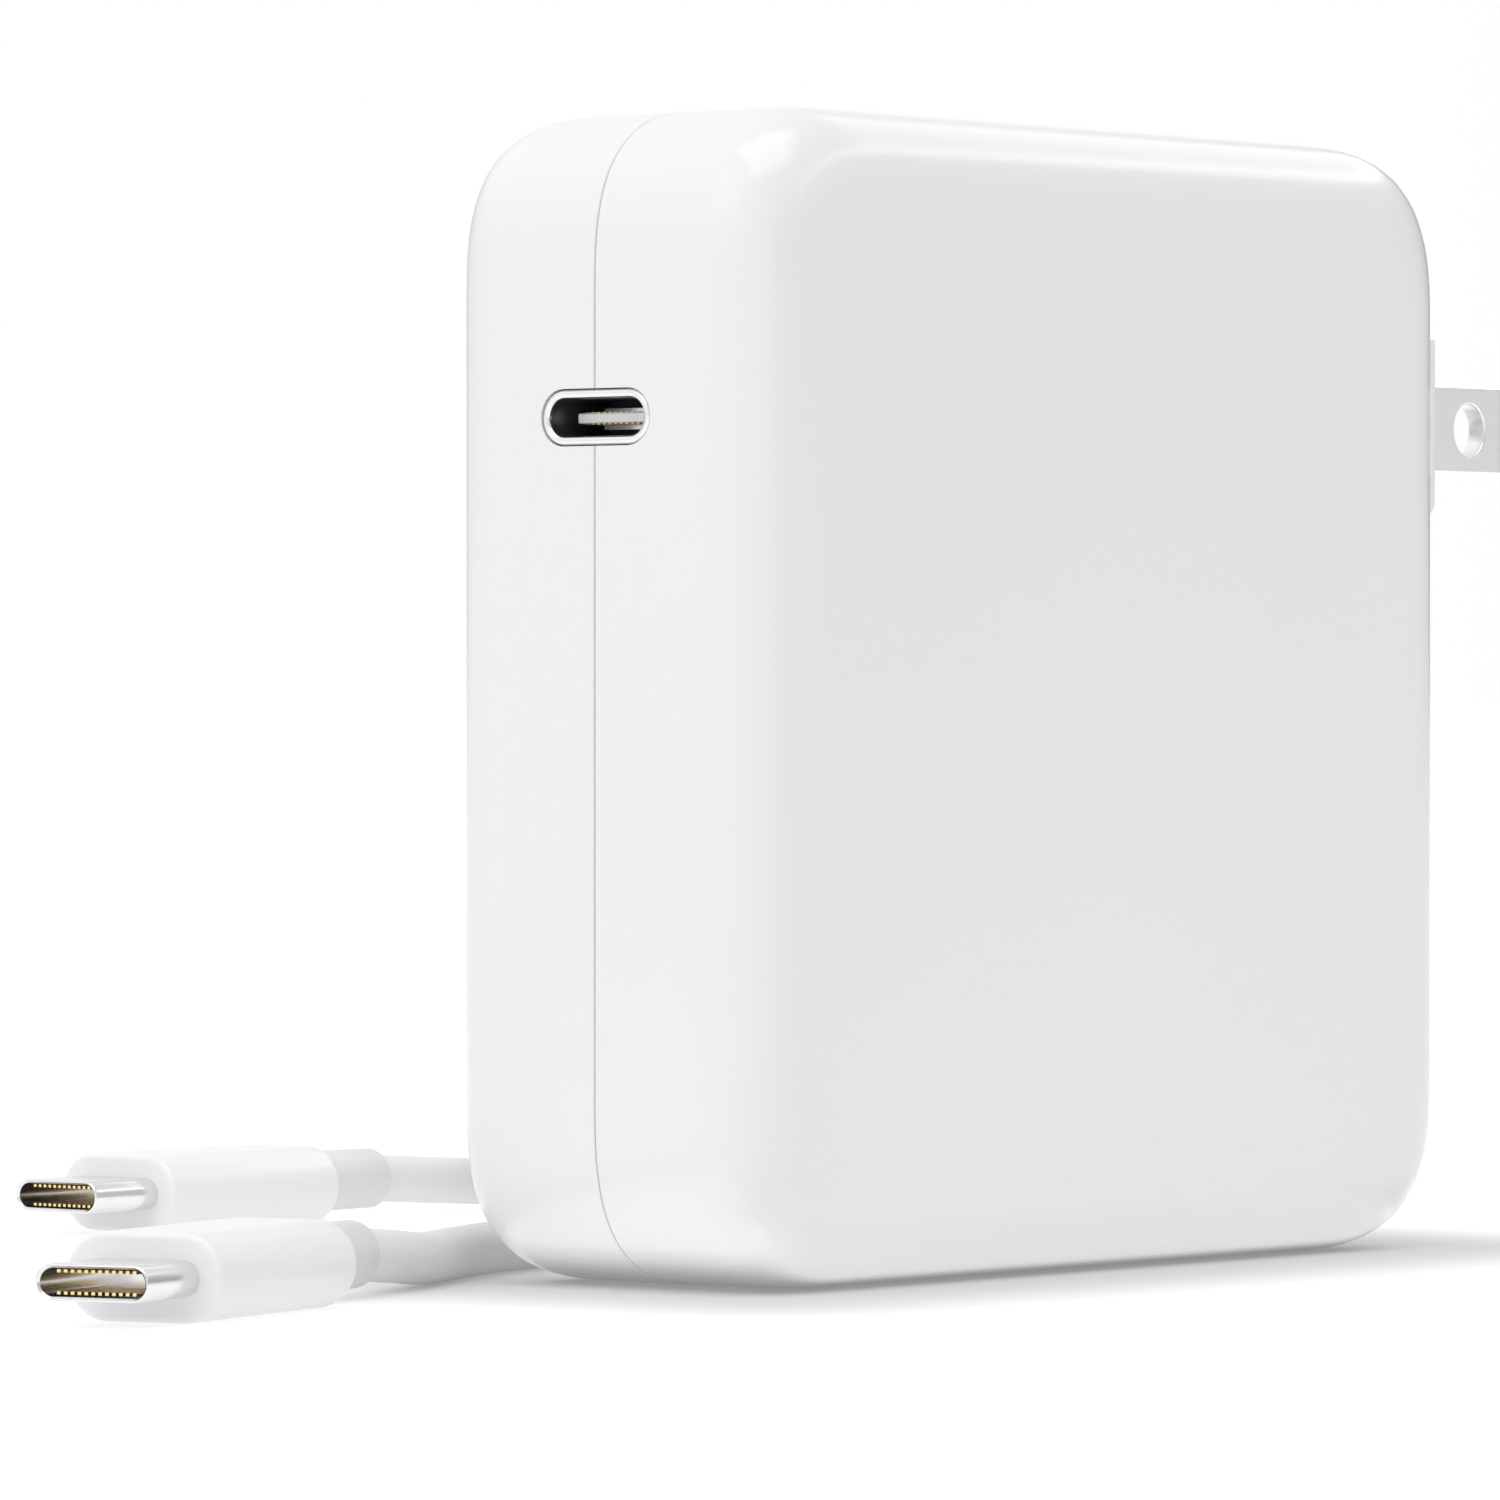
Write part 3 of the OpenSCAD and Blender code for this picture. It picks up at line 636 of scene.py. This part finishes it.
def make_tie(path):
    """The strap drawn tight round the coil's section."""
    low, high = cad("coil_tie")
    held = [p for p in path if low.y < p.y < high.y and p.x > COIL_MID.x]
    reach = CABLE_R + TIE_THICK + TIE_SLACK
    low.x, high.x = min(p.x for p in held) - reach, max(p.x for p in held) + reach
    high.z = max(p.z for p in held) + reach

    def loop_at(inset):
        """The strap's loop round the section, drawn in by an inset."""
        r = TIE_CORNER_R - inset
        x0, x1, z0, z1 = low.x + inset, high.x - inset, low.z + inset, high.z - inset
        return [
            *arc(x1 - r, z1 - r, r, 0, 90, 6), *arc(x0 + r, z1 - r, r, 90, 180, 6),
            *arc(x0 + r, z0 + r, r, 180, 270, 6), *arc(x1 - r, z0 + r, r, 270, 360, 6),
        ]

    edge, inner = TIE_EDGE, TIE_THICK
    stations = [
        (low.y + edge, inner), (low.y, inner - edge), (low.y, edge), (low.y + edge, 0),
        (high.y - edge, 0), (high.y, edge), (high.y, inner - edge), (high.y - edge, inner),
        (low.y + edge, inner),
    ]
    rings = [[(x, y, z) for x, z in loop_at(inset)] for y, inset in stations]
    mesh = ring_shaped("coil_tie_look", rings)
    piece = link("coil_tie_look", smooth(mesh, angle=50), ADAPTER)
    dress(piece, FABRIC)
    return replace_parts(piece, "coil_tie")


cable, cable_path = make_cable()
plug_a = make_plug("a", PLUG_A)
plug_b = make_plug("b", PLUG_B)
tie = make_tie(cable_path)

# ---- Case ----


def turn_point(a, reach):
    """One point of a superelliptic quarter turn."""
    power = 2 / SQUARENESS
    return reach * max(math.cos(a), 0) ** power, reach * max(math.sin(a), 0) ** power


def even_angles(steps):
    """Angles that put the points of a superelliptic turn about evenly along it."""
    fine = fan(0, 90, 400)
    places = [Vector(turn_point(a, 1)) for a in fine]
    walked = [0.0]
    for a, b in zip(places, places[1:]):
        walked.append(walked[-1] + (b - a).length)
    chosen, k = [], 0
    for i in range(steps + 1):
        want = walked[-1] * i / steps
        while k < len(fine) - 1 and walked[k] < want:
            k += 1
        chosen.append(fine[k])
    return chosen


CORNER_ANGLES = even_angles(CORNER_STEPS)
EDGE_ANGLES = even_angles(EDGE_STEPS)


def outline(inset):
    """The case's outline drawn in by an inset, as points in X and Z."""
    mid = HALF_W - CORNER_R
    points = []
    for quarter in range(4):
        c, s = round(math.cos(quarter * math.pi / 2)), round(math.sin(quarter * math.pi / 2))
        for a in CORNER_ANGLES:
            u, v = turn_point(a, CORNER_R - inset)
            points.append(((mid + u) * c - (mid + v) * s, (mid + u) * s + (mid + v) * c + HALF_W))
    return points


def edge_profile(side, inset):
    """(y, inset) pairs of the edge rounding, from the narrow side to the large face."""
    pairs = []
    for a in EDGE_ANGLES:
        u, v = turn_point(a, EDGE_R - inset)
        pairs.append((side * (HALF_T - EDGE_R + v), EDGE_R - u))
    return pairs


def ring_at(y, inset):
    """The case's outline at a place through its thickness."""
    return [(x, y, z) for x, z in outline(inset)]


def cover_mesh(name, side):
    """One cover: outside, the bevelled edge at the joint, the joint's face and the inside."""
    outside = [ring_at(y, d) for y, d in reversed(edge_profile(side, 0))]
    inside = [ring_at(y, d) for y, d in edge_profile(side, WALL)]
    joint = SEAM_Y + side * SEAM_HALF_GAP
    # From the outside in: (share of the groove's width, inset)
    groove = [(1.2, 0), (0.55, 0.03), (0.2, 0.09), (0, 0.22), (0, WALL)]
    edge = [ring_at(joint + side * SEAM_GROOVE * share, inset) for share, inset in groove]
    return loft(name, [*outside, *edge, *inside])


def socket_cutter():
    """The window that the socket's rim sits in."""
    stations = [(-HALF_W - PAST, 0), (-HALF_W + WALL + PAST, 0)]
    mesh = loft("socket_cutter", bar_rings(RIM_W + 2 * FIT, RIM_T + 2 * FIT, stations))
    mesh.transform(Matrix.Translation((0, 0, SOCKET_Z * MM)))
    return mesh


def window_cutter():
    """The window that the plug's housing fills."""
    low = (HOUSING_LOW.x, HOUSING_LOW.y - FIT, HOUSING_LOW.z - FIT)
    high = (HALF_W + PAST, HOUSING_HIGH.y + FIT, HOUSING_HIGH.z + FIT)
    return box_mesh("window_cutter", low, high)


def make_cover(node, side):
    """One half of the case with its half of both windows."""
    mesh = boolean(cover_mesh(f"{node}_look", side), [socket_cutter(), window_cutter()])
    piece = link(f"{node}_look", weighted(mesh, angle=50), ADAPTER)
    dress(piece, CASE)
    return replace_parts(piece, node)


covers = [make_cover("front_cover", -1), make_cover("back_cover", 1)]

# ---- Socket ----


def make_socket():
    """Drawn shell with a bright round rim at its mouth, its inside coloured darker as painted shade."""
    mouth, back = -HALF_W, -HALF_W + SLEEVE_DEPTH
    rim = (RIM_W - OPENING_W) / 2
    crown, sleeve = rim / 2, rim - SLEEVE_SHEET
    stations = [(mouth + RIM_DEPTH, sleeve), (mouth + RIM_DEPTH, 0), (mouth + crown, 0)]
    for a in fan(0, 180, 12):
        stations.append((mouth + crown - crown * math.sin(a), crown - crown * math.cos(a)))
    stations += [(back - SLEEVE_BEVEL, rim), (back, sleeve), (mouth + RIM_DEPTH, sleeve)]
    mesh = ring_shaped("usb_c_shell_look", bar_rings(RIM_W, RIM_T, stations))
    mesh.transform(Matrix.Translation((0, 0, SOCKET_Z * MM)))
    piece = link("usb_c_shell_look", smooth(mesh, angle=40), ADAPTER)
    dress(piece, STEEL)
    # Faces past the mouth get the dark copy of the steel: painted shade inside the socket
    piece.data.materials.append(STEEL_PAINTED_SHADE)
    for face in mesh.polygons:
        if face.center.x > (mouth + PAINTED_SHADE_FROM) * MM:
            face.material_index = 1
    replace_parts(piece, "usb_c_shell")


def make_tongue():
    """The plate in the socket that carries the contacts."""
    low, high = cad("usb_c_tongue")
    mesh = rounded(box_mesh("usb_c_tongue_look", low, high), width=0.12)
    piece = link("usb_c_tongue_look", mesh, ADAPTER)
    dress(piece, TONGUE)
    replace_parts(piece, "usb_c_tongue")


make_socket()
make_tongue()

# ---- Fold-away plug ----


def carrier_outline():
    """Section of the carrier: round behind the pivot, flat in front, its lower corner on an arc."""
    x, z = PIVOT.x, PIVOT.z
    half = (CARRIER_HIGH.z - CARRIER_LOW.z) / 2
    front = CARRIER_HIGH.x - x
    low_front = -math.degrees(math.acos(front / CARRIER_SWEEP_R))
    low_bottom = -math.degrees(math.asin(half / CARRIER_SWEEP_R))
    return [
        (x + front, z + half),
        *arc(x, z, half, 90, 270, 32),
        *arc(x, z, CARRIER_SWEEP_R, low_bottom, low_front, 4),
    ]


def make_carrier():
    """The block that holds the blades, with recesses for the bosses, the pin and round each blade."""
    half_y = CARRIER_HIGH.y
    past_y = half_y + PAST
    body = prism_y("prong_carrier_look", carrier_outline(), -half_y, half_y)
    recesses = []
    for side in (-1, 1):
        ends = (side * CARRIER_RECESS_Y, side * past_y)
        recesses.append(cylinder_y("recess", PIVOT.x, PIVOT.z, CARRIER_RECESS_R, *ends))
    recesses.append(cylinder_y("pin_hole", PIVOT.x, PIVOT.z, PIN_BORE_R, -past_y, past_y))
    around = Vector((0, ROOT_GAP, ROOT_GAP))
    for node in ("prong_front", "prong_back"):
        low, high = cad(node)
        start = Vector((CARRIER_HIGH.x - ROOT_DEPTH, low.y, low.z)) - around
        end = Vector((CARRIER_HIGH.x + 1, high.y, high.z)) + around
        recesses.append(box_mesh("blade_root", start, end))
    body = rounded(boolean(body, recesses), width=0.35, segments=4)
    piece = link("prong_carrier_look", body, PLUG)
    dress(piece, CASE)
    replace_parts(piece, "prong_carrier")


def blade_outline(reach, half_w):
    """A blade's flat, from behind the carrier's face to its rounded tip."""
    x, z = PIVOT.x, PIVOT.z
    corner = BLADE_CORNER_R
    tip = x + reach
    return [
        (x + BLADE_START, z - half_w),
        *arc(tip - corner, z - half_w + corner, corner, -90, 0, 6),
        *arc(tip - corner, z + half_w - corner, corner, 0, 90, 6),
        (x + BLADE_START, z + half_w),
    ]


def make_blade(node):
    """Blade with a round hole, rounded corners and a tip that is thinned on both flats."""
    low, high = cad(node)
    reach = high.x - PIVOT.x
    half_w = (high.z - low.z) / 2
    y0, y1 = low.y, high.y
    body = prism_y(f"{node}_look", blade_outline(reach, half_w), y0, y1)
    hole_x = PIVOT.x + BLADE_HOLE_X
    cutters = [cylinder_y("hole", hole_x, PIVOT.z, BLADE_HOLE_R, y0 - 1, y1 + 1, steps=64)]
    start, end = high.x - TIP_BEVEL_L, high.x + 1
    deepest = TIP_BEVEL_SLOPE * (end - start)
    for y, way in ((y0, 1), (y1, -1)):
        section = [(start, y), (end, y + way * deepest), (end, y - way), (start, y - way)]
        rings = [[(x, yy, z) for x, yy in section] for z in (low.z - 1, high.z + 1)]
        cutters.append(loft("bevel_cutter", rings))
    mesh = rounded(boolean(body, cutters), width=0.12, angle=25)
    piece = link(f"{node}_look", mesh, PLUG)
    dress(piece, BLADE)
    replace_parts(piece, node)


def well_outline():
    """Section of the well that the carrier turns in."""
    x, z = PIVOT.x, PIVOT.z
    outside = HALF_W + PAST + 1
    back = 180 + math.degrees(math.acos(WELL_SEAT_R / WELL_SWEEP_R))
    return [
        (outside, z + WELL_SEAT_R),
        *arc(x, z, WELL_SEAT_R, 90, 180, 16),
        *arc(x, z, WELL_SWEEP_R, back, 270, 16),
        (outside, z - WELL_SWEEP_R),
    ]


def full_case(name):
    """The closed outer form of the whole case."""
    rings = [ring_at(y, d) for y, d in reversed(edge_profile(-1, 0))]
    rings += [ring_at(y, d) for y, d in edge_profile(1, 0)]
    return loft(name, rings)


def make_housing():
    """Moulded insert, flush with the case, with the carrier's well, blade slots and a finger scoop."""
    low, high = HOUSING_LOW, HOUSING_HIGH
    x, z = PIVOT.x, PIVOT.z
    outer = box_mesh("housing_box", low, (HALF_W + PAST, high.y, high.z))
    body = boolean(outer, [full_case("case_form")], "INTERSECT")
    well = prism_y("well", well_outline(), -WELL_HALF_W, WELL_HALF_W)
    bosses = [cylinder_y("boss", x, z, BOSS_R, side * BOSS_FROM, side * BOSS_TO) for side in (-1, 1)]
    cutters = [boolean(well, bosses)]
    for y in (-BLADE_Y, BLADE_Y):
        start = (x - SLOT_DEPTH, y - SLOT_HALF_W, SLOT_FOOT_Z)
        end = (HALF_W + PAST, y + SLOT_HALF_W, z - SLOT_HEAD)
        cutters.append(box_mesh("slot", start, end))
    scoop_ends = (-SCOOP_HALF_W, SCOOP_HALF_W)
    cutters.append(cylinder_y("scoop", SCOOP_X, SCOOP_Z, SCOOP_R, *scoop_ends, steps=96))
    for y in (-BLADE_Y, 0, BLADE_Y):
        start = (low.x - 1, y - POCKET_HALF_W, z - POCKET_HALF_H)
        end = (x - POCKET_FRONT, y + POCKET_HALF_W, z + POCKET_HALF_H)
        cutters.append(box_mesh("pocket", start, end))
    mesh = rounded(boolean(body, cutters), width=0.18, angle=40)
    piece = link("plug_housing_look", mesh, ADAPTER)
    dress(piece, HOUSING)
    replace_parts(piece, "plug_housing")


make_carrier()
make_blade("prong_front")
make_blade("prong_back")
make_housing()

# ---- CAD nodes that keep their shape ----

FINISHES = {
    "pivot_pin": SPRING, "detent_spring": SPRING, "contact_spring_line": BRONZE,
    "contact_spring_neutral": BRONZE, "line_wire": WIRE_BROWN, "neutral_wire": WIRE_BLUE,
    "usb_c_contacts": GOLD, "usb_c_shield": STEEL, "usb_c_rear_block": DARK,
    "main_board": BOARD, "output_board": BOARD, "board_header": DARK, "fuse": FUSE,
    "bridge_rectifier": DARK, "choke_core": FERRITE, "choke_winding": COPPER,
    "x_capacitor": BOX_YELLOW, "bulk_capacitors": SLEEVE_BLACK,
    "inductor_core": FERRITE, "inductor_winding": COPPER, "transformer_core": FERRITE,
    "transformer_winding": TAPE, "thermal_pad": PAD, "heatsink": ALUMINIUM,
    "switch_transistors": DARK, "output_capacitors": SLEEVE_BLUE, "y_capacitor": DISC_BLUE,
    "optocoupler": TONGUE, "control_chips": DARK, "usb_control_chip": DARK,
    "heat_spreader_front": ALUMINIUM, "heat_spreader_back": ALUMINIUM,
    "insulation_front": FILM, "insulation_back": FILM,
    "plug_a_contacts": GOLD, "plug_b_contacts": GOLD,
}
for node, mat in FINISHES.items():
    dress(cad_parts[node], mat)

# ---- Floor, light and background, in metres ----

FLOOR_R = 90
FLOOR_DROP = 0.02 * MM
FLOOR_TONE, FLOOR_ROUGH = (0.45, 0.45, 0.45), 0.8
# Over this reach the floor's glow falls towards the case to the lower value: a painted contact shadow
# round it
PAINTED_SHADOW_REACH = 28 * MM
PAINTED_SHADOW_GLOW, GLOW_HIGH = 0.20, 0.64
BOUNCE_W = 22 * MM
BOUNCE_GAP = -3 * MM
BOUNCE_Z = 0.3 * MM

# Brightness round the horizon, as (turn in degrees from the camera's line of sight, strength),
# and the even brightness that takes over above, from one rise of the view to another
HORIZON = [
    (-180, 0.98), (-160, 0.94), (-130, 0.08), (-100, 0.22), (-85, 0.54), (-68, 0.54), (-45, 0.26),
    (-22, 0.05), (-7.5, 0.04), (-4, 1.0), (8, 1.0), (17, 0.45), (60, 0.66), (90, 1.0), (140, 1.02),
    (180, 0.98),
]
OVERHEAD_RIGHT, OVERHEAD_LEFT, OVERHEAD_SPAN = 0.62, 1.10, 0.7
OVERHEAD_FROM, OVERHEAD_TO = 0.12, 0.45


def floor_material():
    """Matte white table lit through from below, dimmer under the case and close around it: a painted
    contact shadow.
    """
    sheen = {"Specular IOR Level": 0.1, "Emission Color": (1, 1, 1, 1)}
    mat = material("floor", FLOOR_TONE, FLOOR_ROUGH, **sheen)
    nodes, links = mat.node_tree.nodes, mat.node_tree.links
    place = nodes.new("ShaderNodeTexCoord").outputs["Object"]
    footprint = (HALF_W * MM, HALF_T * MM, 1)
    for operation, value in (("ABSOLUTE", None), ("SUBTRACT", footprint), ("MAXIMUM", (0, 0, 0))):
        step = nodes.new("ShaderNodeVectorMath")
        step.operation = operation
        links.new(place, step.inputs[0])
        if value:
            step.inputs[1].default_value = value
        place = step.outputs["Vector"]
    away_from_case = nodes.new("ShaderNodeVectorMath")
    away_from_case.operation = "LENGTH"
    # Dimmer glow nearer the case: a painted contact shadow
    glow = nodes.new("ShaderNodeMapRange")
    glow.interpolation_type = "SMOOTHSTEP"
    set_range(glow, 0, PAINTED_SHADOW_REACH, PAINTED_SHADOW_GLOW, GLOW_HIGH)
    links.new(place, away_from_case.inputs[0])
    links.new(away_from_case.outputs["Value"], glow.inputs["Value"])
    links.new(glow.outputs["Result"], nodes["Principled BSDF"].inputs["Emission Strength"])
    return mat


def make_floor():
    """A wide floor, just under the pieces that lie on it."""
    data = bpy.data.meshes.new("floor")
    bm = bmesh.new()
    bmesh.ops.create_circle(bm, cap_ends=True, radius=FLOOR_R, segments=128)
    bm.to_mesh(data)
    bm.free()
    floor = bpy.data.objects.new("floor", data)
    floor.location.z = -FLOOR_DROP
    bpy.context.collection.objects.link(floor)
    dress(floor, floor_material())


def add_area(name, place, target, size, power):
    """A rectangular light in watts, facing a target."""
    data = bpy.data.lights.new(name, "AREA")
    data.shape, data.size, data.size_y = "RECTANGLE", size[0], size[1]
    data.energy = power
    light = bpy.data.objects.new(name, data)
    light.location = place
    light.rotation_mode = "QUATERNION"
    light.rotation_quaternion = (Vector(target) - Vector(place)).to_track_quat("-Z", "Y")
    bpy.context.collection.objects.link(light)
    return light


def add_bounce(name, side_x, side_y, radiance, receivers):
    """A panel on the floor along one side of the case, which lights the receivers from below."""
    half_x, half_y = HALF_W * MM, HALF_T * MM
    if side_x:
        place = (side_x * (half_x + BOUNCE_GAP + BOUNCE_W / 2), 0, BOUNCE_Z)
        size = (BOUNCE_W, 2 * half_y)
    else:
        place = (0, side_y * (half_y + BOUNCE_GAP + BOUNCE_W / 2), BOUNCE_Z)
        size = (2 * half_x, BOUNCE_W)
    power = radiance * math.pi * size[0] * size[1]
    light = add_area(name, place, (place[0], place[1], 1), size, power)
    light.visible_camera = False
    light.light_linking.receiver_collection = receivers


def make_world():
    """Soft studio surround: white behind the object, dimmer at its flanks, even from above."""
    world = bpy.data.worlds.new("studio")
    bpy.context.scene.world = world
    world.use_nodes = True
    nodes, links = world.node_tree.nodes, world.node_tree.links
    back = nodes["Background"]
    coords = nodes.new("ShaderNodeTexCoord")
    turn = nodes.new("ShaderNodeVectorRotate")
    turn.rotation_type = "Z_AXIS"
    turn.inputs["Angle"].default_value = -(math.pi / 2 - CAMERA_TURN)
    parts = nodes.new("ShaderNodeSeparateXYZ")
    angle = nodes.new("ShaderNodeMath")
    angle.operation = "ARCTAN2"
    spread_out = nodes.new("ShaderNodeMapRange")
    set_range(spread_out, -math.pi, math.pi)
    ramp = nodes.new("ShaderNodeValToRGB")
    ramp.color_ramp.interpolation = "EASE"
    stops = ramp.color_ramp.elements
    while len(stops) > 1:
        stops.remove(stops[-1])
    stops[0].position = 0
    for i, (degrees, value) in enumerate(HORIZON):
        stop = stops[0] if i == 0 else stops.new((degrees + 180) / 360)
        stop.color = (value, value, value, 1)
    climb = nodes.new("ShaderNodeMapRange")
    climb.interpolation_type = "SMOOTHSTEP"
    set_range(climb, OVERHEAD_FROM, OVERHEAD_TO)
    mix = nodes.new("ShaderNodeMix")
    mix.data_type = "RGBA"
    above = nodes.new("ShaderNodeMapRange")
    set_range(above, -OVERHEAD_SPAN, OVERHEAD_SPAN, OVERHEAD_RIGHT, OVERHEAD_LEFT)
    links.new(coords.outputs["Generated"], turn.inputs["Vector"])
    links.new(turn.outputs["Vector"], parts.inputs["Vector"])
    links.new(parts.outputs["Y"], angle.inputs[0])
    links.new(parts.outputs["X"], angle.inputs[1])
    links.new(angle.outputs["Value"], spread_out.inputs["Value"])
    links.new(spread_out.outputs["Result"], ramp.inputs["Fac"])
    links.new(parts.outputs["Z"], climb.inputs["Value"])
    links.new(climb.outputs["Result"], mix.inputs["Factor"])
    links.new(ramp.outputs["Color"], mix.inputs["A"])
    links.new(parts.outputs["Y"], above.inputs["Value"])
    links.new(above.outputs["Result"], mix.inputs["B"])
    links.new(mix.outputs["Result"], back.inputs["Color"])
    back.inputs["Strength"].default_value = 1.0


def away(turn, climb, distance):
    """A place at a turn and a climb in degrees from the object."""
    t, c = math.radians(turn), math.radians(climb)
    level = distance * math.cos(c)
    return (level * math.cos(t), level * math.sin(t), distance * math.sin(c))


# The top and key lights light the faces. The strip and the band draw the highlight along the top edge
bpy.context.scene.view_settings.view_transform = "Standard"
make_floor()
make_world()
case_pieces = bpy.data.collections.new("case_pieces")
for piece in covers:
    case_pieces.objects.link(piece)
add_area("top_light", (-0.15, -0.33, 1.37), (0, 0, 0), (1.2, 1.2), 7.4)
add_area("key_light", (-1.1, 0.1, 0.9), (0, 0, 0.04), (0.8, 0.8), 1.2)
add_area("strip_light", away(-24, 34, 1.3), (0, 0, 0.07), (2.6, 0.14), 1.9)
add_area("band_light", away(2, 38, 1.3), (0, 0, 0.07), (0.9, 0.35), 0.6)
add_bounce("bounce_left", -1, 0, 0.56, case_pieces)
add_bounce("bounce_right", 1, 0, 0.35, case_pieces)
add_bounce("bounce_front", 0, -1, 0.40, case_pieces)
add_bounce("bounce_back", 0, 1, 0.35, case_pieces)
